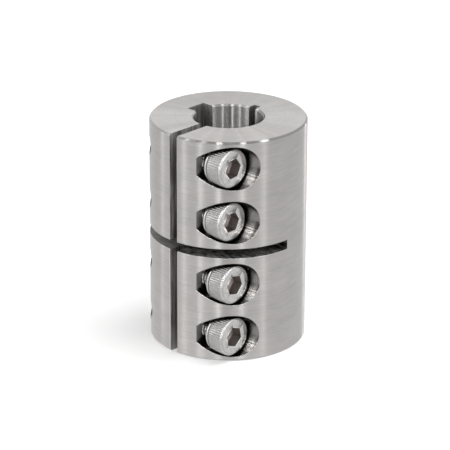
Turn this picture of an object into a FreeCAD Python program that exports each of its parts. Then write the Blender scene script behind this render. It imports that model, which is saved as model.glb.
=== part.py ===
import FreeCAD, Part
import Sketcher
import os

# Rigid shaft coupling: a one-piece clamp hub for two shafts, closed by four cap screws.
# Millimetres. The origin is the centre of the bottom end face, +Z runs up along the bore.
# The slit lies in the plane X = 0 on the -Y side, the screw heads face +X, the keyway is at -X.

os.makedirs("parts", exist_ok=True)

SIZES = {
    # Hub blank and bore
    "hub_diameter": 34.0,
    "hub_length": 50.0,
    "hub_edge_chamfer": 0.4,
    "bore_diameter": 15.0,
    "bore_edge_chamfer": 0.4,
    # Keyway, its depth measured outwards from the bore wall
    "key_width": 5.0,
    "key_depth": 2.3,
    # Saw cuts: the clamping slit, the relief groove opposite it, and the cut that parts the halves
    "slit_width": 2.1,
    "relief_width": 1.8,
    "relief_depth": 1.8,
    "cross_cut_width": 2.1,
    "cross_cut_past_axis": 0.4,
    # Screw places, measured from the hub's side and from its ends
    "screw_side_distance": 5.45,
    "screw_end_distance": 5.85,
    "screw_spacing": 12.1,
    # Screw holes in the two jaws
    "seat_diameter": 9.6,
    "seat_land": 4.75,
    "clearance_hole_diameter": 5.5,
    "thread_clearance": 0.05,
    # Cap screws
    "thread_diameter": 5.0,
    "thread_length": 16.0,
    "tip_chamfer": 0.5,
    "head_diameter": 8.5,
    "head_height": 5.0,
    "head_rim_radius": 0.5,
    "collar_height": 1.1,
    "collar_groove_depth": 0.15,
    "socket_width": 4.0,
    "socket_depth": 2.5,
    # Slope of the drill point under the socket, in degrees from its floor
    "drill_point_slope": 30.0,
    # How far each head stands off its seat, from the top screw down
    "screw_1_gap": 1.55,
    "screw_2_gap": 1.2,
    "screw_3_gap": 2.15,
    "screw_4_gap": 2.05,
    # How far each screw is turned about its axis, in degrees
    "screw_1_turn": 35.0,
    "screw_2_turn": 32.0,
    "screw_3_turn": 18.0,
    "screw_4_turn": 11.0,
}

# Expressions over the sheet that several features share
HUB_RADIUS = "Sizes.hub_diameter / 2"
BORE_RADIUS = "Sizes.bore_diameter / 2"
MID_LENGTH = "Sizes.hub_length / 2"
SEAT_PLANE = "Sizes.slit_width / 2 + Sizes.seat_land"
HEAD_RADIUS = "Sizes.head_diameter / 2"
THREAD_RADIUS = "Sizes.thread_diameter / 2"
SOCKET_FLOOR = "Sizes.head_height - Sizes.socket_depth"
SOCKET_CORNER = "Sizes.socket_width / 2 / cos(30 deg)"
DRILL_POINT_DEPTH = "Sizes.socket_width / 2 * tan(Sizes.drill_point_slope * 1 deg)"
SCREW_AXIS_Y = "Sizes.screw_side_distance - Sizes.hub_diameter / 2"
SCREW_HEIGHTS = {
    "screw_1": "Sizes.hub_length - Sizes.screw_end_distance",
    "screw_2": "Sizes.hub_length - Sizes.screw_end_distance - Sizes.screw_spacing",
    "screw_3": "Sizes.screw_end_distance + Sizes.screw_spacing",
    "screw_4": "Sizes.screw_end_distance",
}
SMALL = 1e-6


def add_sheet(doc):
    """One row for each size: its name in column A, its value and alias in column B."""
    sheet = doc.addObject("Spreadsheet::Sheet", "Sizes")
    for row, (alias, value) in enumerate(SIZES.items(), start=1):
        sheet.set(f"A{row}", alias)
        sheet.set(f"B{row}", str(value))
        sheet.setAlias(f"B{row}", alias)
    doc.recompute()
    return sheet


def add_body(doc, name):
    body = doc.addObject("PartDesign::Body", name)
    body.Label = name
    return body


def add_sketch(body, name, plane, offset=None):
    """Empty sketch on one of the body's origin planes, moved along its normal by an expression."""
    sketch = body.newObject("Sketcher::SketchObject", name)
    origin_plane = next(f for f in body.Origin.OriginFeatures if f.Role == plane)
    sketch.AttachmentSupport = [(origin_plane, "")]
    sketch.MapMode = "FlatFace"
    if offset:
        sketch.setExpression("AttachmentOffset.Base.z", offset)
    return sketch


def name_size(sketch, constraint, name, expression):
    """Add a dimension and bind it to the sheet."""
    index = sketch.addConstraint(constraint)
    sketch.renameConstraint(index, name)
    sketch.setExpression(f"Constraints.{name}", expression)


def place_point(sketch, geometry, point, place, name):
    """Dimension a point of the sketch from the origin, along both of its axes."""
    for kind, axis, expression in zip(("DistanceX", "DistanceY"), "xy", place):
        value = sketch.evalExpression(expression)
        constraint = Sketcher.Constraint(kind, -1, 1, geometry, point, value)
        name_size(sketch, constraint, f"{name}_{axis}", expression)


def add_polygon(body, name, plane, corners, offset=None):
    """Sketch of a closed outline. Each corner is a name and two expressions."""
    sketch = add_sketch(body, name, plane, offset)
    places = [place for _, *place in corners]
    points = [FreeCAD.Vector(*(sketch.evalExpression(e) for e in place)) for place in places]
    count = len(corners)
    for index in range(count):
        sketch.addGeometry(Part.LineSegment(points[index], points[(index + 1) % count]))
    for index in range(count):
        sketch.addConstraint(Sketcher.Constraint("Coincident", index, 2, (index + 1) % count, 1))
    for index, (corner, *place) in enumerate(corners):
        place_point(sketch, index, 1, place, corner)
    return sketch


def add_rectangle(body, name, plane, x_sizes, y_sizes):
    """Sketch of a rectangle between two expressions along each of its axes."""
    corners = [
        ("low_left", x_sizes[0], y_sizes[0]),
        ("low_right", x_sizes[1], y_sizes[0]),
        ("high_right", x_sizes[1], y_sizes[1]),
        ("high_left", x_sizes[0], y_sizes[1]),
    ]
    return add_polygon(body, name, plane, corners)


def add_screw_circles(body, name, diameter, offset=None):
    """Sketch of one circle on each screw's axis, looking along +X."""
    sketch = add_sketch(body, name, "YZ_Plane", offset)
    for index, (screw, height) in enumerate(SCREW_HEIGHTS.items()):
        place = (SCREW_AXIS_Y, height)
        centre = FreeCAD.Vector(*(sketch.evalExpression(e) for e in place))
        radius = sketch.evalExpression(diameter) / 2
        sketch.addGeometry(Part.Circle(centre, FreeCAD.Vector(0, 0, 1), radius))
        place_point(sketch, index, 3, place, screw)
        size = Sketcher.Constraint("Diameter", index, 2 * radius)
        name_size(sketch, size, f"{screw}_diameter", diameter)
    return sketch


def add_turned(body, kind, name, sketch):
    """Turn an outline right round the body's Z axis, adding (Revolution) or cutting (Groove)."""
    turned = body.newObject(f"PartDesign::{kind}", name)
    turned.Profile = sketch
    turned.ReferenceAxis = (sketch, ["V_Axis"])
    turned.Angle = 360
    return turned


def cut_through(body, name, sketch, forwards):
    """Cut a sketch through everything on one side of it: forwards is along its normal."""
    pocket = body.newObject("PartDesign::Pocket", name)
    pocket.Profile = sketch
    pocket.Type = "ThroughAll"
    pocket.Reversed = forwards
    return pocket


def make_hub(doc):
    """The clamp hub, turned from bar, then milled, drilled and sawn, all in one piece."""
    hub = add_body(doc, "hub")
    blank = [
        ("bore_low", f"{BORE_RADIUS} + Sizes.bore_edge_chamfer", "0"),
        ("rim_low", f"{HUB_RADIUS} - Sizes.hub_edge_chamfer", "0"),
        ("side_low", HUB_RADIUS, "Sizes.hub_edge_chamfer"),
        ("side_high", HUB_RADIUS, "Sizes.hub_length - Sizes.hub_edge_chamfer"),
        ("rim_high", f"{HUB_RADIUS} - Sizes.hub_edge_chamfer", "Sizes.hub_length"),
        ("bore_high", f"{BORE_RADIUS} + Sizes.bore_edge_chamfer", "Sizes.hub_length"),
        ("wall_high", BORE_RADIUS, "Sizes.hub_length - Sizes.bore_edge_chamfer"),
        ("wall_low", BORE_RADIUS, "Sizes.bore_edge_chamfer"),
    ]
    blank_outline = add_polygon(hub, "blank_outline", "XZ_Plane", blank)
    add_turned(hub, "Revolution", "hub_blank", blank_outline)

    keyway = add_rectangle(
        hub,
        "keyway_outline",
        "XY_Plane",
        (f"-{BORE_RADIUS} - Sizes.key_depth", "0"),
        ("-Sizes.key_width / 2", "Sizes.key_width / 2"),
    )
    cut_through(hub, "keyway", keyway, True)

    slit = add_rectangle(
        hub,
        "slit_outline",
        "XY_Plane",
        ("-Sizes.slit_width / 2", "Sizes.slit_width / 2"),
        ("-Sizes.hub_diameter", "0"),
    )
    cut_through(hub, "clamping_slit", slit, True)

    relief = add_rectangle(
        hub,
        "relief_outline",
        "XY_Plane",
        ("-Sizes.relief_width / 2", "Sizes.relief_width / 2"),
        ("0", f"{BORE_RADIUS} + Sizes.relief_depth"),
    )
    cut_through(hub, "relief_groove", relief, True)

    cross = add_rectangle(
        hub,
        "cross_cut_outline",
        "YZ_Plane",
        ("-Sizes.hub_diameter", "Sizes.cross_cut_past_axis"),
        (f"{MID_LENGTH} - Sizes.cross_cut_width / 2", f"{MID_LENGTH} + Sizes.cross_cut_width / 2"),
    )
    cross_cut = cut_through(hub, "cross_cut", cross, True)
    cross_cut.SideType = "Symmetric"

    seats = add_screw_circles(hub, "seat_outlines", "Sizes.seat_diameter", SEAT_PLANE)
    cut_through(hub, "head_seats", seats, True)
    holes = add_screw_circles(hub, "clearance_outlines", "Sizes.clearance_hole_diameter")
    cut_through(hub, "clearance_holes", holes, True)
    tapped = add_screw_circles(
        hub, "tapped_outlines", "Sizes.thread_diameter + 2 * Sizes.thread_clearance"
    )
    cut_through(hub, "tapped_holes", tapped, False)
    return hub


def make_screw(doc, name):
    """A socket head cap screw: its own axis is Z, with the underside of the head at Z = 0."""
    screw = add_body(doc, name)
    outline = [
        ("tip", "0", "-Sizes.thread_length"),
        ("tip_edge", f"{THREAD_RADIUS} - Sizes.tip_chamfer", "-Sizes.thread_length"),
        ("thread_start", THREAD_RADIUS, "-Sizes.thread_length + Sizes.tip_chamfer"),
        ("neck", THREAD_RADIUS, "0"),
        ("collar_low", HEAD_RADIUS, "0"),
        ("collar_high", HEAD_RADIUS, "Sizes.collar_height - Sizes.collar_groove_depth"),
        ("groove", f"{HEAD_RADIUS} - Sizes.collar_groove_depth", "Sizes.collar_height"),
        ("grip_low", HEAD_RADIUS, "Sizes.collar_height + Sizes.collar_groove_depth"),
        ("grip_high", HEAD_RADIUS, "Sizes.head_height"),
        ("face", "0", "Sizes.head_height"),
    ]
    profile = add_polygon(screw, f"{name}_outline", "XZ_Plane", outline)
    blank = add_turned(screw, "Revolution", f"{name}_blank", profile)
    doc.recompute()
    rim = screw.newObject("PartDesign::Fillet", f"{name}_rim")
    rim.Base = (blank, [rim_edge(blank.Shape)])
    rim.setExpression("Radius", "Sizes.head_rim_radius")

    hexagon = [
        (f"corner_{k}", f"{SOCKET_CORNER} * cos({60 * k} deg)", f"{SOCKET_CORNER} * sin({60 * k} deg)")
        for k in range(6)
    ]
    socket = screw.newObject("PartDesign::Pocket", f"{name}_socket")
    socket.Profile = add_polygon(screw, f"{name}_hexagon", "XY_Plane", hexagon, "Sizes.head_height")
    socket.setExpression("Length", "Sizes.socket_depth")

    cone = [
        ("mouth_centre", "0", SOCKET_FLOOR),
        ("mouth_edge", "Sizes.socket_width / 2", SOCKET_FLOOR),
        ("point", "0", f"{SOCKET_FLOOR} - {DRILL_POINT_DEPTH}"),
    ]
    drill_point = add_polygon(screw, f"{name}_cone", "XZ_Plane", cone)
    add_turned(screw, "Groove", f"{name}_drill_point", drill_point)
    return screw


def rim_edge(shape):
    """Name of the round edge at the top of a screw's head."""
    top = shape.BoundBox.ZMax
    for index, edge in enumerate(shape.Edges, start=1):
        box = edge.BoundBox
        if box.ZMin > top - SMALL and box.XLength > SMALL:
            return f"Edge{index}"
    raise RuntimeError("the head has no rim edge")


def place_screw(screw, sheet):
    """Lay a screw on its hole's axis with its head towards +X, off its seat and turned as it stands."""
    turn = sheet.get(f"{screw.Label}_turn")
    along_x = FreeCAD.Rotation(FreeCAD.Vector(0, 1, 0), 90)
    screw.Placement.Rotation = along_x * FreeCAD.Rotation(FreeCAD.Vector(0, 0, 1), turn)
    screw.setExpression("Placement.Base.x", f"{SEAT_PLANE} + Sizes.{screw.Label}_gap")
    screw.setExpression("Placement.Base.y", SCREW_AXIS_Y)
    screw.setExpression("Placement.Base.z", SCREW_HEIGHTS[screw.Label])


def check(doc, sub_parts):
    for item in doc.Objects:
        if {"Invalid", "Error"} & set(item.State):
            raise RuntimeError(f"{item.Name} failed: {item.State}")
    for sub_part in sub_parts:
        if sub_part.Shape.isNull() or not sub_part.Shape.isValid():
            raise RuntimeError(f"{sub_part.Label} has no valid shape")


def main():
    doc = FreeCAD.newDocument("rigid_coupling")
    sheet = add_sheet(doc)
    hub = make_hub(doc)
    screws = [make_screw(doc, name) for name in SCREW_HEIGHTS]
    for screw in screws:
        place_screw(screw, sheet)
    doc.recompute()
    sub_parts = [hub, *screws]
    check(doc, sub_parts)
    for sub_part in sub_parts:
        print(sub_part.Label, round(sub_part.Shape.Volume, 1), "mm3", sub_part.Shape.BoundBox)
        sub_part.Shape.exportStep(f"parts/{sub_part.Label}.step")


main()
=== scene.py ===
import math
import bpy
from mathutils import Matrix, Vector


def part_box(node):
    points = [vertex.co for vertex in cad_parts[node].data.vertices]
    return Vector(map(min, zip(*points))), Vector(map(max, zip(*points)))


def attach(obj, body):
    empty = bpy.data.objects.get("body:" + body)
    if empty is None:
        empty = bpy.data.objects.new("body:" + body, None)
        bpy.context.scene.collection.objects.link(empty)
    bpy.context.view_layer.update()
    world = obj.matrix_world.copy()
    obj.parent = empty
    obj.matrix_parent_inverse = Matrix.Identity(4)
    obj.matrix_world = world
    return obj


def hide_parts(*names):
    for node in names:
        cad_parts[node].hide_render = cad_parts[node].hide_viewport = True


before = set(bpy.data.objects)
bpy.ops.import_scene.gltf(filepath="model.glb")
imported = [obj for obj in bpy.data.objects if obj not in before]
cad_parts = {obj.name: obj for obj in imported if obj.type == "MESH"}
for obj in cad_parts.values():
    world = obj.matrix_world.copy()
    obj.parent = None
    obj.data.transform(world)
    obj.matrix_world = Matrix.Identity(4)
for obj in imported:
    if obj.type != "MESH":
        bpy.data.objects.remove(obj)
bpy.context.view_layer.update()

from types import SimpleNamespace

import bpy
from mathutils import Matrix, Vector

# Rigid shaft coupling in turned stainless steel, standing on a white table.
# Metres. The bore's axis is Z, the clamping slit is on the -Y side, the screw heads face +X.

MM = 0.001
FULL_TURN = 2 * math.pi

# Hub, as built, in millimetres
HUB_RADIUS = 17.0
HUB_LENGTH = 50.0
HALF_LENGTH = HUB_LENGTH / 2
CHAMFER = 0.4
BORE_RADIUS = 7.5
SLIT_WIDTH = 2.1
CROSS_CUT_WIDTH = 2.1
CROSS_CUT_PAST_AXIS = 0.4
SCREW_AXIS_Y = -11.55
SCREW_END_DISTANCE = 5.85
SCREW_SPACING = 12.1
PAIR_CENTRE = SCREW_END_DISTANCE + SCREW_SPACING / 2
SEAT_PLANE = 5.8
SEAT_RADIUS = 4.8
HOLE_RADIUS = 2.75
TAPPED_RADIUS = 2.55

# Cap screws, in millimetres
HEAD_RADIUS = 4.25
HEAD_HEIGHT = 5.0
SEAT_CLEARANCE = 0.02
COLLAR_RADIUS = 4.2
COLLAR_TOP = 0.95
GROOVE_DEPTH = 0.16
KNURL_START = 1.25
KNURL_DEPTH = 0.08
KNURL_LEAD = 0.12
KNURL_LEAD_DEPTH = 0.03
RIM_ROUND = 0.6
SCREW_LENGTH = 21.0
SOCKET_WIDTH = 4.0
SOCKET_DEPTH = 2.5
SOCKET_EDGE = 0.15
SOCKET_EDGE_SLOPE = 0.7
DRILL_INSET = 0.05
DRILL_POINT = 1.0
DRILL_TIP_RADIUS = 0.05
THREAD_CREST = 2.48
THREAD_ROOT = 2.05
THREAD_PITCH = 0.8
THREAD_RUNOUT = 0.4
TIP_CHAMFER = 0.5
SEATED_TIP = -10.2

# Section of the collar: how far along the head, and how far inside the collar's radius
COLLAR_SECTION = (
    (SEAT_CLEARANCE, 0.5),
    (0.1, 0.35),
    (0.25, 0.2),
    (0.45, 0.08),
    (0.7, 0.0),
    (COLLAR_TOP, 0.0),
    (COLLAR_TOP + 0.05, GROOVE_DEPTH),
    (KNURL_START - 0.1, GROOVE_DEPTH),
)

# Thread in the far jaw, in millimetres: its crests, how far it is sunk in the hub, and its ends
TAPPED_CREST = 2.12
ROOT_SINK = 0.01
BACK_SINK = 0.05
PAST_SEATED_TIP = 0.2
INSIDE_HUB_SIDE = 0.03
SHORTEST_STRETCH = 0.25

# Fineness of the meshes
KNURL_TEETH = 52
HEAD_SEGMENTS = 8 * KNURL_TEETH
SHANK_SEGMENTS = 48
ROWS_PER_PITCH = 10
RIM_STEPS = 8
TAPPED_COLUMNS = 72
TAPPED_ROWS = 70
SHARP_ANGLE = 40

# How far each screw is turned about its axis, in degrees, from the top one down
SCREW_TURNS = {"screw_1": 35, "screw_2": 32, "screw_3": 18, "screw_4": 11}

# Brightness of each surface of the hub
SIDE_VALUE = 0.485
# End faces lighter than the side: painted light from above.
END_FACE_LIGHTER = 0.11
# Top chamfer darker, and darker towards +X: painted shade. Bottom chamfer lighter: painted reflection of
# the white table.
TOP_RIM_VALUE = 0.352
BOTTOM_RIM_VALUE = 0.47
# Bore darker than the side: painted shade inside the bore.
BORE_VALUE = 0.185
# Far side of the bore's chamfers lighter than the bore: painted highlight.
MOUTH_VALUE = 0.34
BROACHED_VALUE = 0.3
# Slit walls lighter than the side: painted light that falls into the slit, more near the hub's side, and
# painted shade towards both ends.
SLIT_OUTER_VALUE = 0.9
SLIT_INNER_VALUE = 0.62
SLIT_ENDS_SHARE = 0.65
# Painted highlight along the slit's edge at -X.
SLIT_EDGE_HIGHLIGHT = 0.12
# Cross cut dark: painted shade in the narrow cut, less on its far part.
CROSS_CUT_VALUE = 0.14
FAR_CROSS_CUT_VALUE = 0.24
# Seat walls: painted light where they face up, a painted dark band, painted highlight streaks for
# reflections of the knurled head, and painted shade at the bottom.
SEAT_VALUE = 0.42
SEAT_FACING_UP_VALUE = 0.5
SEAT_BAND_VALUE = 0.26
SEAT_HIGHLIGHT_VALUE = 0.95
SEAT_BOTTOM_VALUE = 0.2
SEAT_FLOOR_VALUE = 0.37
# Holes dark: painted shade deep in the holes.
HOLE_VALUE = 0.12
# Painted highlight on the edges of the cuts that turn upwards.
EDGE_HIGHLIGHT_VALUE = 0.9

# Roughness of each surface of the hub
SIDE_ROUGHNESS = 0.33
BORE_ROUGHNESS = 0.25
RIM_ROUGHNESS = 0.14
SEAT_ROUGHNESS = 0.12
SEAT_FLOOR_ROUGHNESS = 0.34
BROACHED_ROUGHNESS = 0.45
SLIT_ROUGHNESS = 0.7
BROKEN_EDGE_ROUGHNESS = 0.25

# Brightness and roughness of the screws, of their sockets and of the thread in the far jaw
SCREW_VALUE = 0.62
KNURL_SHARE = 0.7
FRONT_DARKER = -0.07
# Lower part of the head's rim darker: painted shade that dims a glint there.
LOWER_RIM_SHADE_SHARE = 0.85
# Knurl grooves darker, more on the upper side: painted shade.
GROOVE_SHADE_SHARE = 0.95
UPWARD_GROOVE_SHADE_SHARE = 0.75
# Dark thread roots: painted shade.
THREAD_ROOT_SHADE_VALUE = 0.08
SCREW_ROUGHNESS = 0.17
# Sockets dark: painted shade deep in the socket.
SOCKET_VALUE = 0.38
SOCKET_ROUGHNESS = 0.38
CUT_THREAD_VALUE = 0.25
CUT_THREAD_ROUGHNESS = 0.4

# Shares of red, green and blue in each steel
HUB_TINT = (1.0, 0.965, 0.945)
SCREW_TINT = (1.0, 0.985, 0.97)
SOCKET_TINT = (1.0, 0.92, 0.88)

# Seat walls, in millimetres up from the screw's axis: where they face up, with painted light, and where the
# painted shade of their bottom starts, each with blur; a painted dark band and two painted highlight
# streaks, with middle, half width and blur
SEAT_FACES_UP = (-2.3, 1.0)
SEAT_BOTTOM = (-4.0, 0.1)
SEAT_BAND = (-1.05, 0.5, 0.15)
UPPER_STREAK = (-2.15, 0.12, 0.08)
LOWER_STREAK = (-2.75, 0.25, 0.15)

# Margins and blur with which a place is told to be on a surface, in millimetres
SLACK = 0.05
FINE_SLACK = 0.03
FINE_BLUR = 0.02

# Broken edges in the shading, and how far the normals lean in the bore and on its chamfers
EDGE_BREAK = 0.18
EDGE_SAMPLES = 4
BORE_LEAN = 0.5
MOUTH_LEAN = -0.35

# Depth of the marks in the shading, in millimetres
MARK_DEPTH = 0.02
MOTTLE_DEPTH = 0.05

# Camera that took the picture, in the part's frame
CAMERA_TARGET = Vector((-0.48, -0.45, 24.83)) * MM
CAMERA_DISTANCE = 537.1 * MM
CAMERA_AZIMUTH = math.radians(43.2)
CAMERA_ELEVATION = math.radians(21.82)
CAMERA_ROLL = math.radians(0.21)
CAMERA_LENS = 197.2
NEAREST_SEEN = 0.01

# Lamps round the object: degrees to the camera's right, elevation, width, height, radiance
LAMP_DISTANCE = 0.8
LAMPS = {
    "strip_1": (-106, 24, 0.05, 0.85, 4.6),
    "strip_2": (-65, 24, 0.05, 0.85, 4.8),
    "strip_3": (-40, 24, 0.05, 0.85, 5.0),
    "strip_4": (-14, 24, 0.05, 0.85, 6.0),
    "strip_5": (20, 24, 0.05, 0.85, 4.6),
    "strip_6": (52, 24, 0.05, 0.85, 3.4),
    "back_right": (140, 2, 0.06, 0.12, 16.0),
    "front": (6, 50, 0.1, 0.08, 8.0),
    "top_1": (-83, 53, 0.06, 0.06, 3.0),
    "top_2": (-56, 62, 0.06, 0.06, 3.0),
    "top_3": (-22, 67, 0.08, 0.06, 7.0),
    "top_4": (36, 66, 0.08, 0.06, 7.0),
    "top_5": (74, 56, 0.16, 0.06, 8.0),
}

# The lamp that casts the shadow: as above, and its own distance
SHADOW_LAMP = (93, 66, 0.6, 0.6, 4.4, 0.7)

# White surroundings: dimmer overhead and behind the camera in reflections, and as light.
# Where they dim overhead is the sine of an elevation.
OVERHEAD_FROM = 0.78
OVERHEAD_FULL = 0.92
OVERHEAD_LEVEL = 0.8
CAMERA_DARK_EDGE = math.cos(math.radians(18))
CAMERA_DARK_CORE = math.cos(math.radians(10))
CAMERA_DARK_LEVEL = 0.2
SURROUNDING_LIGHT = 0.25

# White table: half its width, its matt share, and its own light near and far from the object
TABLE_HALF = 3.0
TABLE_MATT = 0.8
TABLE_NEAR = 0.15
TABLE_FAR = 0.7
TABLE_NEAR_GLOW = 0.29
TABLE_FAR_GLOW = 0.85
TABLE_IN_REFLECTIONS = 0.92


def screw_axis(name):
    """Y and Z of a screw's axis."""
    low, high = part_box(name)
    return (low.y + high.y) / 2, (low.z + high.z) / 2


def around(x, axis, radius, angle):
    """Point at a radius from a line along X. The angle runs from +Y towards +Z."""
    return (x, axis[0] + radius * math.cos(angle), axis[1] + radius * math.sin(angle))


def skin_faces(rings, count, start=0):
    """Quads through rings of vertices that all have the same count."""
    faces = []
    for row in range(rings - 1):
        low = start + row * count
        for index in range(count):
            after = (index + 1) % count
            faces.append((low + index, low + after, low + count + after, low + count + index))
    return faces


def make_object(name, points, faces):
    """Mesh object with smooth faces whose sharp edges stay sharp."""
    mesh = bpy.data.meshes.new(name)
    mesh.from_pydata(points, [], faces)
    piece = bpy.data.objects.new(name, mesh)
    bpy.context.scene.collection.objects.link(piece)
    mesh.shade_smooth()
    mesh.set_sharp_from_angle(angle=math.radians(SHARP_ANGLE))
    return piece


def thread_rise(x, angle):
    """Height of a right-hand thread round X, from 0 in its root to 1 on its crest."""
    crest_share, root_share = 1 / 8, 1 / 4
    phase = (x / (THREAD_PITCH * MM) - angle / FULL_TURN) % 1.0
    off_crest = abs(phase - 0.5) * 2
    rise = (1 - root_share - off_crest) / (1 - root_share - crest_share)
    return min(max(rise, 0.0), 1.0)


def shank_points(axis, tip, underside):
    """Rings of the threaded shank, from its tip to the underside of the head."""
    rows = round((underside - tip) / (THREAD_PITCH * MM) * ROWS_PER_PITCH)
    depth = (THREAD_CREST - THREAD_ROOT) * MM
    points = []
    for row in range(rows + 1):
        x = tip + (underside - tip) * row / rows
        chamfer = (THREAD_CREST - TIP_CHAMFER) * MM + (x - tip)
        runout = min((underside - x) / (THREAD_RUNOUT * MM), 1.0)
        for index in range(SHANK_SEGMENTS):
            angle = FULL_TURN * index / SHANK_SEGMENTS
            thread = THREAD_ROOT * MM + depth * thread_rise(x, angle) * runout
            points.append(around(x, axis, min(thread, chamfer), angle))
    return points


def hexagon_radius(angle):
    """Distance from the socket's centre to its side, one corner being at angle 0."""
    sixth = FULL_TURN / 6
    off_middle = angle % sixth - sixth / 2
    return SOCKET_WIDTH / 2 / math.cos(off_middle)


def knurl(angle):
    """Radius of the straight knurl on the head's side."""
    return HEAD_RADIUS - KNURL_DEPTH * (0.5 - 0.5 * math.cos(KNURL_TEETH * angle))


def head_rows():
    """Section of the head: how far along it each ring lies, and its radius at an angle."""
    rows = [(along, lambda a, radius=COLLAR_RADIUS - inset: radius) for along, inset in COLLAR_SECTION]
    rows.append((KNURL_START, lambda a: knurl(a) - KNURL_LEAD_DEPTH))
    rows.append((KNURL_START + KNURL_LEAD, knurl))
    for step in range(RIM_STEPS + 1):
        lean = math.pi / 2 * step / RIM_STEPS
        along = HEAD_HEIGHT - RIM_ROUND * (1 - math.sin(lean))
        rim = HEAD_RADIUS - RIM_ROUND * (1 - math.cos(lean))
        rows.append((along, lambda a, radius=rim: min(radius, knurl(a))))
    return rows


def socket_rows():
    """Section of the socket, from its broken edge down to the drill point."""
    floor = HEAD_HEIGHT - SOCKET_DEPTH
    return [
        (HEAD_HEIGHT, lambda a: hexagon_radius(a) + SOCKET_EDGE),
        (HEAD_HEIGHT - SOCKET_EDGE_SLOPE * SOCKET_EDGE, hexagon_radius),
        (floor, hexagon_radius),
        (floor - 0.01, lambda a: SOCKET_WIDTH / 2 - DRILL_INSET),
        (floor - DRILL_POINT, lambda a: DRILL_TIP_RADIUS),
    ]


def underside_faces(neck, head, first_corner):
    """Flat ring between the end of the shank and the edge of the head, one fan for each shank side."""
    per_side = HEAD_SEGMENTS // SHANK_SEGMENTS
    first = round(-first_corner / FULL_TURN * HEAD_SEGMENTS)
    faces = []
    for side in range(SHANK_SEGMENTS):
        start = first + side * per_side
        outer = [head + (start + step) % HEAD_SEGMENTS for step in range(per_side, -1, -1)]
        faces.append((neck + side, neck + (side + 1) % SHANK_SEGMENTS, *outer))
    return faces


def make_screw(name, outside, inside):
    """One watertight screw: threaded shank, flat underside, knurled head and hexagon socket."""
    low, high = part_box(name)
    axis = screw_axis(name)
    underside = high.x - HEAD_HEIGHT * MM
    first_corner = math.radians(SCREW_TURNS[name]) + FULL_TURN / 12
    points = shank_points(axis, low.x, underside + SEAT_CLEARANCE * MM)
    head = len(points)
    neck = head - SHANK_SEGMENTS
    faces = skin_faces(head // SHANK_SEGMENTS, SHANK_SEGMENTS)
    faces.append(tuple(reversed(range(SHANK_SEGMENTS))))
    faces += underside_faces(neck, head, first_corner)

    outer_rows = head_rows()
    sections = outer_rows + socket_rows()
    for along, radius_at in sections:
        for index in range(HEAD_SEGMENTS):
            angle = FULL_TURN * index / HEAD_SEGMENTS
            radius = radius_at(angle) * MM
            points.append(around(underside + along * MM, axis, radius, angle + first_corner))
    faces += skin_faces(len(sections), HEAD_SEGMENTS, head)
    faces.append(tuple(range(len(points) - HEAD_SEGMENTS, len(points))))

    piece = make_object(f"cap_{name}", points, faces)
    piece.data.materials.append(outside)
    piece.data.materials.append(inside)
    socket_start = head + (len(outer_rows) + 1) * HEAD_SEGMENTS
    for polygon in piece.data.polygons:
        if min(polygon.vertices) >= socket_start:
            polygon.material_index = 1
    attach(piece, name)
    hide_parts(name)


def make_tapped_thread(name, material):
    """The thread in the far jaw, from just past the seated screw's tip out to the hub's side."""
    axis = screw_axis(name)
    back = (TAPPED_RADIUS + BACK_SINK) * MM
    start = (SEATED_TIP - PAST_SEATED_TIP) * MM
    side_radius = (HUB_RADIUS - INSIDE_HUB_SIDE) * MM

    def mouth(radius, angle):
        """X of the hub's side at a radius and an angle from the hole's axis."""
        y = axis[0] + radius * math.cos(angle)
        return -math.sqrt(side_radius**2 - y**2)

    def ridge(row, angle):
        """Point on the thread. Its radius depends on X and X on its radius, so both are refined."""
        radius = back
        for _ in range(4):
            x = start + (mouth(radius, angle) - start) * row / TAPPED_ROWS
            rise = thread_rise(x, angle + math.pi)
            radius = (TAPPED_RADIUS + ROOT_SINK - (TAPPED_RADIUS - TAPPED_CREST) * (1 - rise)) * MM
        return around(x, axis, radius, angle)

    def is_short(degrees):
        return start - mouth(back, math.radians(degrees)) < SHORTEST_STRETCH * MM

    half_arc = math.radians(next(degrees for degrees in range(180) if is_short(degrees)) - 1)
    points, faces = [], []
    section = 2 * (TAPPED_ROWS + 1)
    for column in range(TAPPED_COLUMNS + 1):
        angle = half_arc * (2 * column / TAPPED_COLUMNS - 1)
        points += [ridge(row, angle) for row in range(TAPPED_ROWS + 1)]
        for row in range(TAPPED_ROWS, -1, -1):
            x = start + (mouth(back, angle) - start) * row / TAPPED_ROWS
            points.append(around(x, axis, back, angle))
    for column in range(TAPPED_COLUMNS):
        near = column * section
        far = near + section
        for index in range(section):
            after = (index + 1) % section
            faces.append((near + index, far + index, far + after, near + after))
    faces.append(tuple(range(section)))
    faces.append(tuple(reversed(range(len(points) - section, len(points)))))
    piece = make_object(f"tapped_thread_{name[-1]}", points, faces)
    piece.data.materials.append(material)
    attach(piece, "hub")


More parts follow.
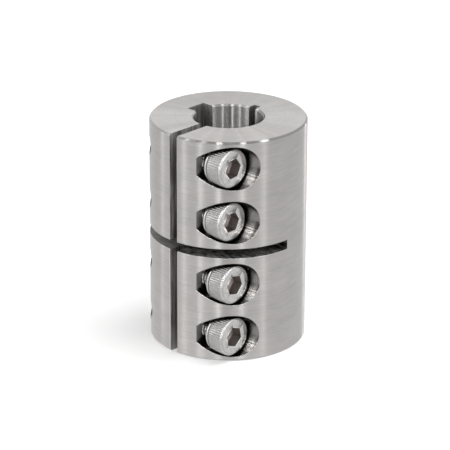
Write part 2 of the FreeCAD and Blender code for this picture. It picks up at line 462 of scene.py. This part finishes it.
class Nodes:
    """Short ways to build the nodes of one tree."""

    def __init__(self, tree):
        self.tree = tree

    def feed(self, socket, value):
        if isinstance(value, bpy.types.NodeSocket):
            self.tree.links.new(value, socket)
        else:
            socket.default_value = value

    def node(self, kind, output=0, values=(), **settings):
        node = self.tree.nodes.new(f"ShaderNode{kind}")
        for name, setting in settings.items():
            setattr(node, name, setting)
        for index, value in enumerate(values):
            if value is not None:
                self.feed(node.inputs[index], value)
        return node.outputs[output]

    def math(self, operation, *values):
        return self.node("Math", values=values, operation=operation)

    def vector(self, x, y, z):
        return self.node("CombineXYZ", values=(x, y, z))

    def vector_math(self, operation, *values, output="Vector"):
        return self.node("VectorMath", output, values, operation=operation)

    def split(self, vector):
        separate = self.tree.nodes.new("ShaderNodeSeparateXYZ")
        self.feed(separate.inputs[0], vector)
        return tuple(separate.outputs)

    def stretched(self, *pairs):
        """Vector of two or three coordinates, each multiplied by the factor paired with it."""
        scaled = [self.math("MULTIPLY", coordinate, factor) for coordinate, factor in pairs]
        return self.vector(*(scaled + [0.0])[:3])

    def length(self, first, second):
        squares = self.math("MULTIPLY_ADD", first, first, self.math("MULTIPLY", second, second))
        return self.math("SQRT", squares)

    def ramp(self, value, low, high, at_low=0.0, at_high=1.0):
        """A number that runs from one level to another between two values, and is level beyond."""
        return self.node("MapRange", values=(value, low, high, at_low, at_high), clamp=True)

    def over(self, value, limit, blur=0.04):
        """1 where a value is above a limit and 0 below it."""
        return self.ramp(value, limit - blur, limit + blur)

    def under(self, value, limit, blur=0.04):
        return self.opposite(self.over(value, limit, blur))

    def near(self, value, middle, half_width, blur):
        """1 where a value is within half a width of a middle."""
        return self.under(self.math("ABSOLUTE", self.math("SUBTRACT", value, middle)), half_width, blur)

    def opposite(self, mask):
        return self.math("SUBTRACT", 1.0, mask)

    def both(self, *masks):
        result = masks[0]
        for mask in masks[1:]:
            result = self.math("MULTIPLY", result, mask)
        return result

    def either(self, *masks):
        result = masks[0]
        for mask in masks[1:]:
            result = self.math("MAXIMUM", result, mask)
        return result

    def blend(self, mask, first, second):
        """A number that is the first where the mask is 0 and the second where it is 1."""
        return self.node("Mix", values=(mask, None, first, second))

    def sum(self, base, *parts):
        """A base value plus each part, a pair of a strength and a socket."""
        result = base
        for strength, socket in parts:
            result = self.math("MULTIPLY_ADD", socket, strength, result)
        return result

    def noise(self, vector, scale=1.0, detail=2.0, roughness=0.55):
        """Noise about 0, within about half a unit each way."""
        node = self.tree.nodes.new("ShaderNodeTexNoise")
        self.feed(node.inputs["Vector"], vector)
        node.inputs["Scale"].default_value = scale
        node.inputs["Detail"].default_value = detail
        node.inputs["Roughness"].default_value = roughness
        return self.math("SUBTRACT", node.outputs["Fac"], 0.5)


class Shading(Nodes):
    """One steel with a single Principled shader."""

    def __init__(self, name):
        self.material = bpy.data.materials.new(name)
        self.material.use_nodes = True
        super().__init__(self.material.node_tree)
        self.shader = self.tree.nodes["Principled BSDF"]

    def set(self, **inputs):
        """Give the shader's inputs a value or a link, with underscores for the spaces in their names."""
        for name, value in inputs.items():
            self.feed(self.shader.inputs[name.replace("_", " ")], value)

    def place(self):
        """X, Y and Z in the part's frame, in millimetres."""
        in_metres = self.node("TexCoord", output="Object")
        per_metre = 1 / MM
        return self.split(self.vector_math("MULTIPLY", in_metres, (per_metre, per_metre, per_metre)))

    def beside_screw(self, y, z):
        """Y and Z from the axis of the nearest screw, in millimetres."""
        above_middle = self.math("SUBTRACT", z, HALF_LENGTH)
        from_middle = self.math("ABSOLUTE", above_middle)
        past_pair = self.math("SUBTRACT", from_middle, HALF_LENGTH - PAIR_CENTRE)
        past_screw = self.math("SUBTRACT", self.math("ABSOLUTE", past_pair), SCREW_SPACING / 2)
        upwards = self.math("MULTIPLY", self.math("SIGN", above_middle), self.math("SIGN", past_pair))
        return self.math("SUBTRACT", y, SCREW_AXIS_Y), self.math("MULTIPLY", past_screw, upwards)

    def grey(self, value, tint=HUB_TINT):
        """A colour from a brightness, a little warm as the steel is."""
        return self.vector(*(self.math("MULTIPLY", value, share) for share in tint))

    def rounded(self, radius):
        """Normal that turns smoothly over edges, at a radius in millimetres."""
        return self.node("Bevel", values=(radius * MM,), samples=EDGE_SAMPLES)

    def bump(self, height, depth, normal=None):
        """Normal raised by a height, at a depth in millimetres."""
        bump = self.tree.nodes.new("ShaderNodeBump")
        bump.inputs["Distance"].default_value = depth * MM
        self.feed(bump.inputs["Height"], height)
        if normal:
            self.feed(bump.inputs["Normal"], normal)
        return bump.outputs[0]


def hub_places(s):
    """Coordinates on the hub in millimetres, and masks that tell its surfaces apart.

    far_mouth is the bore's chamfers away from the slit, which take a painted highlight, slit_edge_highlight
    the lower half of the slit's edge at -X, with a painted highlight, and lit_edge_highlight the edges of
    the cuts whose rounded normal turns upwards, which take a painted highlight.
    """
    x, y, z = s.place()
    radius = s.length(x, y)
    from_middle = s.math("ABSOLUTE", s.math("SUBTRACT", z, HALF_LENGTH))
    screw_y, screw_z = s.beside_screw(y, z)
    from_screw = s.length(screw_y, screw_z)
    end_face = s.over(from_middle, HALF_LENGTH - FINE_SLACK, FINE_BLUR)
    rim = s.both(
        s.over(radius, HUB_RADIUS - CHAMFER - FINE_BLUR, FINE_BLUR),
        s.over(from_middle, HALF_LENGTH - CHAMFER - FINE_BLUR, FINE_BLUR),
    )
    inside_hub = s.under(radius, HUB_RADIUS - SLACK, FINE_BLUR)
    past_bore = s.over(radius, BORE_RADIUS + CHAMFER + SLACK)
    seat = s.both(s.under(from_screw, SEAT_RADIUS + SLACK), s.over(x, SEAT_PLANE - SLACK))
    hole = s.both(s.under(from_screw, HOLE_RADIUS + SLACK), s.under(x, SEAT_PLANE - SLACK))
    cross_cut = s.both(
        s.under(from_middle, CROSS_CUT_WIDTH / 2 + FINE_SLACK, FINE_BLUR),
        s.under(y, CROSS_CUT_PAST_AXIS + FINE_SLACK, FINE_BLUR),
        inside_hub,
    )
    slit = s.both(
        s.under(s.math("ABSOLUTE", x), SLIT_WIDTH / 2 + FINE_SLACK, FINE_BLUR),
        s.under(y, 0.0),
        inside_hub,
        past_bore,
    )
    broached = s.both(
        s.under(radius, HUB_RADIUS - 0.6),
        past_bore,
        s.under(from_middle, HALF_LENGTH - SLACK, FINE_BLUR),
        s.opposite(s.either(seat, hole, cross_cut, slit)),
    )
    # Where the painted highlight of the bore's chamfers goes: their far side from the slit.
    far_mouth = s.both(
        s.over(radius, BORE_RADIUS + FINE_BLUR, FINE_BLUR),
        s.under(radius, BORE_RADIUS + CHAMFER, FINE_BLUR),
        s.over(from_middle, HALF_LENGTH - CHAMFER, FINE_BLUR),
        s.over(y, -1.5, 1.0),
    )
    # Painted highlight on the lower half of the slit's edge at -X.
    slit_edge_highlight = s.both(
        s.over(x, -SLIT_WIDTH / 2 - 0.3, 0.1),
        s.under(x, -SLIT_WIDTH / 2 + 0.05),
        s.over(radius, HUB_RADIUS - SLACK, FINE_SLACK),
        s.under(y, 0.0),
        s.under(z, HALF_LENGTH),
    )
    rounded = s.rounded(EDGE_BREAK)
    turned_by = s.vector_math("SUBTRACT", rounded, s.node("NewGeometry", output="Normal"))
    facing_up = s.over(s.split(turned_by)[2], 0.3, 0.2)
    return SimpleNamespace(
        x=x,
        y=y,
        z=z,
        radius=radius,
        from_middle=from_middle,
        screw_y=screw_y,
        screw_z=screw_z,
        from_screw=from_screw,
        end_face=end_face,
        rim=rim,
        bore=s.both(s.under(radius, BORE_RADIUS + 2 * SLACK), s.opposite(slit)),
        far_mouth=far_mouth,
        broached=broached,
        slit=slit,
        slit_edge_highlight=slit_edge_highlight,
        cross_cut=cross_cut,
        far_cross_cut=s.both(cross_cut, s.under(x, -SLIT_WIDTH / 2)),
        seat=seat,
        seat_floor=s.both(seat, s.under(x, SEAT_PLANE + 2 * SLACK)),
        hole=hole,
        rounded=rounded,
        lit_edge_highlight=s.both(facing_up, s.under(from_middle, HALF_LENGTH - 1)),
    )


def hub_marks(s, at):
    """Tool marks: rings on what was turned, rings about the screw in a seat, lines in the cuts, and rays
    for the painted reflections on the ends.
    """
    along_x = s.math("DIVIDE", at.x, at.radius)
    along_y = s.math("DIVIDE", at.y, at.radius)
    turned = s.math("ADD", at.z, at.radius)
    around_screw = s.vector(
        s.math("DIVIDE", at.screw_y, at.from_screw),
        s.math("DIVIDE", at.screw_z, at.from_screw),
        s.math("MULTIPLY", s.math("ADD", at.x, at.from_screw), 2.0),
    )
    fine = s.stretched((along_x, 3.0), (along_y, 3.0), (turned, 3.2))
    broad = s.stretched((along_x, 2.2), (along_y, 2.2), (turned, 0.55))
    along_seat = s.stretched((at.x, 0.25), (at.screw_y, 1.2), (at.screw_z, 1.2))
    drawn = s.stretched((at.x, 1.6), (at.y, 1.6), (at.z, 0.03))
    sawn = s.stretched((at.x, 0.4), (at.y, 1.8), (at.z, 2.0))
    place = s.vector(at.x, at.y, at.z)
    return SimpleNamespace(
        fine=s.noise(fine, detail=3.0, roughness=0.7),
        broad=s.noise(broad),
        rays=s.noise(s.stretched((along_x, 6.0), (along_y, 6.0))),
        cloud=s.noise(place, scale=0.16),
        grain=s.noise(place, scale=2.2, roughness=0.7),
        milled=s.noise(around_screw, detail=1.0, roughness=0.6),
        along_seat=s.noise(along_seat, detail=1.0),
        drawn=s.noise(drawn, detail=3.0, roughness=0.8),
        sawn=s.noise(sawn, detail=4.0, roughness=0.75),
        rings=s.noise(s.vector(0.0, 0.0, at.z), scale=5.0, detail=0.0),
    )


def seat_brightness(s, at, marks):
    """Milled seat walls: painted light below, a painted dark band, two painted highlight streaks and
    painted shade at the bottom.
    """
    wall = s.blend(s.under(at.screw_z, *SEAT_FACES_UP), SEAT_VALUE, SEAT_FACING_UP_VALUE)
    value = s.sum(wall, (0.12, marks.milled), (0.2, marks.along_seat))
    value = s.blend(s.near(at.screw_z, *SEAT_BAND), value, SEAT_BAND_VALUE)
    streaks = s.either(s.near(at.screw_z, *UPPER_STREAK), s.near(at.screw_z, *LOWER_STREAK))
    value = s.blend(streaks, value, SEAT_HIGHLIGHT_VALUE)
    return s.blend(s.under(at.screw_z, *SEAT_BOTTOM), value, SEAT_BOTTOM_VALUE)


def slit_brightness(s, at, marks):
    """Sawn slit: painted light, more near the hub's side, and painted shade towards both ends."""
    inward = s.over(at.y, 1.1 - HUB_RADIUS, 0.12)
    value = s.sum(s.blend(inward, SLIT_OUTER_VALUE, SLIT_INNER_VALUE), (1.8, marks.drawn))
    return s.math("MULTIPLY", value, s.blend(s.over(at.from_middle, 18.0, 5.0), 1.0, SLIT_ENDS_SHARE))


def hub_brightness(s, at, marks):
    """Brightness of each surface with its marks. The later surfaces lie over the earlier ones."""
    turned = ((0.2, marks.fine), (0.1, marks.broad), (0.08, marks.cloud), (0.06, marks.grain))
    # The side is lighter towards the bottom: painted light from the table.
    side = s.sum(SIDE_VALUE, (-0.0009, at.z), *turned)
    # Ends: painted light, brighter towards +X and -Y on the camera's side, and painted reflection rays
    # across the rings.
    ends = s.sum(END_FACE_LIGHTER, (1.0, side), (0.2, marks.rays), (0.0015, at.x), (-0.0015, at.y))
    # Chamfers: painted shade on the top one, darker towards +X, and a painted reflection of the table on
    # the bottom one.
    rims = s.blend(s.under(at.z, 1.0), s.sum(TOP_RIM_VALUE, (-0.004, at.x)), BOTTOM_RIM_VALUE)
    value = s.blend(at.end_face, side, ends)
    for mask, surface in (
        (at.rim, rims),
        # Painted shade in the bore.
        (at.bore, s.sum(BORE_VALUE, (0.06, marks.grain))),
        # Painted highlight on the far side of the bore's chamfers.
        (at.far_mouth, MOUTH_VALUE),
        (at.broached, s.sum(BROACHED_VALUE, (0.5, marks.drawn))),
        (at.slit, slit_brightness(s, at, marks)),
        # Painted shade in the cross cut, less on its far part.
        (at.cross_cut, s.sum(CROSS_CUT_VALUE, (1.5, marks.sawn), (0.1, marks.cloud))),
        (at.far_cross_cut, s.sum(FAR_CROSS_CUT_VALUE, (0.6, marks.sawn))),
        (at.seat, seat_brightness(s, at, marks)),
        (at.seat_floor, s.sum(SEAT_FLOOR_VALUE, (0.3, marks.milled))),
        # Painted shade in the holes.
        (at.hole, s.sum(HOLE_VALUE, (0.1, marks.milled))),
        # Painted highlight on the upward edges.
        (at.lit_edge_highlight, EDGE_HIGHLIGHT_VALUE),
    ):
        value = s.blend(mask, value, surface)
    # Painted highlight along the slit's edge at -X.
    return s.blend(at.slit_edge_highlight, value, s.sum(SLIT_EDGE_HIGHLIGHT, (1.0, value)))


def hub_roughness(s, at, marks):
    rough = s.sum(SIDE_ROUGHNESS, (0.08, marks.broad), (0.14, marks.fine))
    for mask, surface in (
        (s.either(at.bore, at.far_mouth), BORE_ROUGHNESS),
        (at.rim, RIM_ROUGHNESS),
        (at.seat, SEAT_ROUGHNESS),
        (s.either(at.broached, at.cross_cut), BROACHED_ROUGHNESS),
        (at.slit, SLIT_ROUGHNESS),
        (at.seat_floor, SEAT_FLOOR_ROUGHNESS),
        (at.lit_edge_highlight, BROKEN_EDGE_ROUGHNESS),
    ):
        rough = s.blend(mask, rough, surface)
    return rough


def hub_normal(s, at, marks):
    """Marks raised on the rounded normal, which leans in the bore and on its chamfers' far side."""
    height = s.sum(0.0, (0.35, marks.fine), (0.1, marks.grain))
    height = s.blend(at.bore, height, marks.rings)
    for mask, surface, strength in (
        (at.seat, marks.along_seat, 0.6),
        (s.either(at.slit, at.broached), marks.drawn, 20.0),
        (at.cross_cut, marks.sawn, 8.0),
    ):
        height = s.blend(mask, height, s.math("MULTIPLY", surface, strength))
    leaning = s.vector(0.0, 0.0, s.sum(0.0, (BORE_LEAN, at.bore), (MOUTH_LEAN, at.far_mouth)))
    normal = s.vector_math("NORMALIZE", s.vector_math("ADD", at.rounded, leaning))
    return s.bump(height, MARK_DEPTH, normal)


def hub_tangent(s, at):
    """Brushed rings about the bore's axis, and about the screw's axis in a seat."""
    rings = s.node("Tangent", direction_type="RADIAL", axis="Z")
    seat_rings = s.vector(0.0, s.math("MULTIPLY", at.screw_z, -1.0), at.screw_y)
    return s.node("Mix", 1, (at.seat, None, None, None, rings, seat_rings), data_type="VECTOR")


def hub_steel():
    """Turned side and ends, reamed bore, milled seats, sawn cuts with painted shade, darker broached faces,
    and more painted light and shade on the other surfaces.
    """
    s = Shading("hub_steel_turned")
    at = hub_places(s)
    marks = hub_marks(s, at)
    s.set(
        Base_Color=s.grey(hub_brightness(s, at, marks)),
        Metallic=1.0,
        Roughness=hub_roughness(s, at, marks),
        Anisotropic=1.0,
        Anisotropic_Rotation=0.25,
        Tangent=hub_tangent(s, at),
        Normal=hub_normal(s, at, marks),
    )
    return s.material


def screw_steel():
    """Cold-formed cap screws: bright, with faint blotches, a duller knurl, painted shade in the knurl's
    grooves and on the lower rim, and dark thread roots of painted shade.
    """
    s = Shading("screw_steel_formed")
    x, y, z = s.place()
    place = s.vector(x, y, z)
    blotch = s.noise(place, scale=0.9, detail=3.0, roughness=0.6)
    speck = s.noise(place, scale=5.0, detail=3.0, roughness=0.7)
    screw_y, screw_z = s.beside_screw(y, z)
    from_axis = s.length(screw_y, screw_z)
    from_tip = s.math("MULTIPLY", s.split(s.node("TexCoord", output="Generated"))[0], SCREW_LENGTH)
    head_start = SCREW_LENGTH - HEAD_HEIGHT
    upward = s.over(s.math("DIVIDE", screw_z, from_axis), 0.3, 0.4)
    knurled = s.both(
        s.over(from_tip, head_start + COLLAR_TOP),
        s.under(from_tip, SCREW_LENGTH - RIM_ROUND * 0.8, 0.2),
        s.over(from_axis, HEAD_RADIUS - 0.4),
    )
    # Painted shade in the knurl's grooves, stronger on the upper side.
    groove_shade = s.both(knurled, s.under(from_axis, HEAD_RADIUS - KNURL_DEPTH / 2, KNURL_DEPTH / 3))
    front = s.over(from_tip, SCREW_LENGTH - 0.1)
    # Painted shade on the lower part of the head's rim.
    lower_rim_shade = s.both(
        s.over(from_tip, SCREW_LENGTH - RIM_ROUND, 0.1),
        s.over(from_axis, HEAD_RADIUS - RIM_ROUND, 0.1),
        s.under(screw_z, 0.8, 0.4),
    )
    # Painted shade in the thread roots.
    root = s.both(s.under(from_axis, (THREAD_CREST + THREAD_ROOT) / 2, 0.15), s.under(from_tip, head_start))
    groove_shade_share = s.blend(upward, GROOVE_SHADE_SHARE, UPWARD_GROOVE_SHADE_SHARE)
    value = s.sum(SCREW_VALUE, (0.25, blotch), (0.3, speck))
    value = s.blend(knurled, value, s.math("MULTIPLY", value, KNURL_SHARE))
    value = s.blend(front, value, s.sum(FRONT_DARKER, (1.0, value)))
    value = s.blend(lower_rim_shade, value, s.math("MULTIPLY", value, LOWER_RIM_SHADE_SHARE))
    value = s.blend(groove_shade, value, s.math("MULTIPLY", value, groove_shade_share))
    value = s.blend(root, value, THREAD_ROOT_SHADE_VALUE)
    s.set(
        Base_Color=s.grey(value, SCREW_TINT),
        Metallic=1.0,
        Roughness=s.sum(SCREW_ROUGHNESS, (0.2, speck), (0.12, blotch)),
        Normal=s.bump(speck, MARK_DEPTH),
    )
    return s.material


def socket_steel():
    """Inside of the hexagon sockets, dark and a little warm: painted shade deep in the socket."""
    s = Shading("socket_steel_painted_shade")
    mottle = s.noise(s.vector(*s.place()), scale=2.5, detail=4.0, roughness=0.7)
    s.set(
        Base_Color=s.grey(s.sum(SOCKET_VALUE, (0.4, mottle)), SOCKET_TINT),
        Metallic=1.0,
        Roughness=s.sum(SOCKET_ROUGHNESS, (0.2, mottle)),
        Normal=s.bump(mottle, MOTTLE_DEPTH),
    )
    return s.material


def thread_steel():
    """Cut thread in the far jaw: dull, with marks along the helix."""
    s = Shading("thread_steel_cut")
    x, y, z = s.place()
    marks = s.noise(s.vector(s.math("MULTIPLY", x, 8.0), y, z), detail=3.0)
    s.set(
        Base_Color=s.grey(s.sum(CUT_THREAD_VALUE, (0.15, marks))),
        Metallic=1.0,
        Roughness=s.sum(CUT_THREAD_ROUGHNESS, (0.2, marks)),
    )
    return s.material


def dress_hub():
    steel = hub_steel()
    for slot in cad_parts["hub"].material_slots:
        slot.material = steel


def direction(azimuth, elevation):
    """Unit vector from the object, azimuth 0 being -Y and 90 degrees +X."""
    level = math.cos(elevation)
    return Vector((math.sin(azimuth) * level, -math.cos(azimuth) * level, math.sin(elevation)))


def add_camera():
    back = direction(CAMERA_AZIMUTH, CAMERA_ELEVATION)
    level_right = Vector((math.cos(CAMERA_AZIMUTH), math.sin(CAMERA_AZIMUTH), 0))
    level_up = back.cross(level_right)
    right = level_right * math.cos(CAMERA_ROLL) + level_up * math.sin(CAMERA_ROLL)
    up = back.cross(right)
    lens = bpy.data.cameras.new("camera")
    lens.lens = CAMERA_LENS
    lens.clip_start = NEAREST_SEEN
    camera = bpy.data.objects.new("camera", lens)
    turn = Matrix((right, up, back)).transposed().to_4x4()
    camera.matrix_world = Matrix.Translation(CAMERA_TARGET + back * CAMERA_DISTANCE) @ turn
    bpy.context.scene.collection.objects.link(camera)
    bpy.context.scene.camera = camera


def add_lamp(name, azimuth, elevation, width, height, radiance, distance=LAMP_DISTANCE):
    """Rectangular lamp that faces the object."""
    lamp = bpy.data.lights.new(name, "AREA")
    lamp.shape = "RECTANGLE"
    lamp.size = width
    lamp.size_y = height
    lamp.energy = radiance * math.pi * width * height
    light = bpy.data.objects.new(name, lamp)
    away = direction(CAMERA_AZIMUTH + math.radians(azimuth), math.radians(elevation))
    light.matrix_world = away.to_track_quat("Z", "Y").to_matrix().to_4x4()
    light.location = CAMERA_TARGET + away * distance
    bpy.context.scene.collection.objects.link(light)
    return light


def add_lights():
    for name, settings in LAMPS.items():
        add_lamp(name, *settings)
    key = add_lamp("key", *SHADOW_LAMP)
    key.visible_glossy = False


def seen_rays(n):
    """1 for rays that show what is behind: from the camera, off gloss or through glass."""
    names = ("Is Camera Ray", "Is Glossy Ray", "Is Transmission Ray")
    return n.either(*(n.node("LightPath", output=name) for name in names))


def add_world():
    """White all round, dimmer overhead and round the camera in reflections, and dimmer as light."""
    world = bpy.data.worlds.new("studio")
    world.use_nodes = True
    bpy.context.scene.world = world
    n = Nodes(world.node_tree)
    toward = n.node("TexCoord", output="Generated")
    overhead = n.ramp(n.split(toward)[2], OVERHEAD_FROM, OVERHEAD_FULL, 1.0, OVERHEAD_LEVEL)
    camera_side = direction(CAMERA_AZIMUTH, CAMERA_ELEVATION)
    off_camera = n.vector_math("DOT_PRODUCT", toward, camera_side, output="Value")
    beside_camera = n.ramp(off_camera, CAMERA_DARK_EDGE, CAMERA_DARK_CORE, 1.0, CAMERA_DARK_LEVEL)
    reflected = n.math("MULTIPLY", overhead, beside_camera)
    seen = n.math("MAXIMUM", n.node("LightPath", output="Is Camera Ray"), reflected)
    background = n.tree.nodes["Background"]
    background.inputs["Color"].default_value = (1.0, 1.0, 1.0, 1.0)
    n.feed(background.inputs["Strength"], n.ramp(seen_rays(n), 0.0, 1.0, SURROUNDING_LIGHT, seen))


def add_floor():
    """White table. Its own light lifts it to white, and its matt part takes the shadow."""
    signs = ((-1, -1), (1, -1), (1, 1), (-1, 1))
    corners = [(across * TABLE_HALF, along * TABLE_HALF, 0) for across, along in signs]
    floor = make_object("floor", corners, [(0, 1, 2, 3)])
    material = bpy.data.materials.new("white_table")
    material.use_nodes = True
    n = Nodes(material.node_tree)
    n.tree.nodes.remove(n.tree.nodes["Principled BSDF"])
    from_camera = n.node("LightPath", output="Is Camera Ray")
    matt = n.node("BsdfDiffuse", values=(n.ramp(from_camera, 0.0, 1.0, 0.0, TABLE_MATT),))
    distance = n.vector_math("LENGTH", n.node("TexCoord", output="Object"), output="Value")
    farther = n.ramp(distance, TABLE_NEAR, TABLE_FAR, TABLE_NEAR_GLOW, TABLE_FAR_GLOW)
    lift = n.ramp(from_camera, 0.0, 1.0, TABLE_IN_REFLECTIONS, farther)
    glow = n.node("Emission", values=(None, lift))
    surface = n.node("AddShader", values=(matt, glow))
    n.feed(n.tree.nodes["Material Output"].inputs["Surface"], surface)
    floor.data.materials.append(material)


def main():
    bpy.context.scene.view_settings.view_transform = "Standard"
    dress_hub()
    outside, inside, cut = screw_steel(), socket_steel(), thread_steel()
    for name in SCREW_TURNS:
        make_screw(name, outside, inside)
        make_tapped_thread(name, cut)
    add_floor()
    add_world()
    add_lights()
    add_camera()


main()
